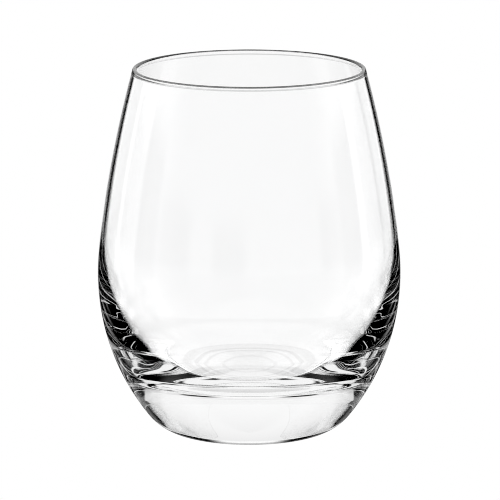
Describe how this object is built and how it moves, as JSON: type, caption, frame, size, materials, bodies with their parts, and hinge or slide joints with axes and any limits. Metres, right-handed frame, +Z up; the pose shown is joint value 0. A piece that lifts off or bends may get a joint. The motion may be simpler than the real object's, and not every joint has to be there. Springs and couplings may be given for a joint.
{
  "type": "stemless wine glass",
  "caption": "Clear stemless wine glass: rounded bowl on a thick weighted base, with a thin wall that narrows to a beaded rim, for drinking wine and other cold drinks.",
  "frame": {"origin": "middle of the plane the glass stands on, on its turning axis", "axes": "+Z up along the turning axis, from the base to the rim"},
  "size_m": [0.09, 0.09, 0.1094],
  "materials": {
    "clear_glass": "clear, colourless, fire-polished glass"
  },
  "bodies": {
    "root": {"glass_body": "clear_glass"}
  },
  "joints": []
}
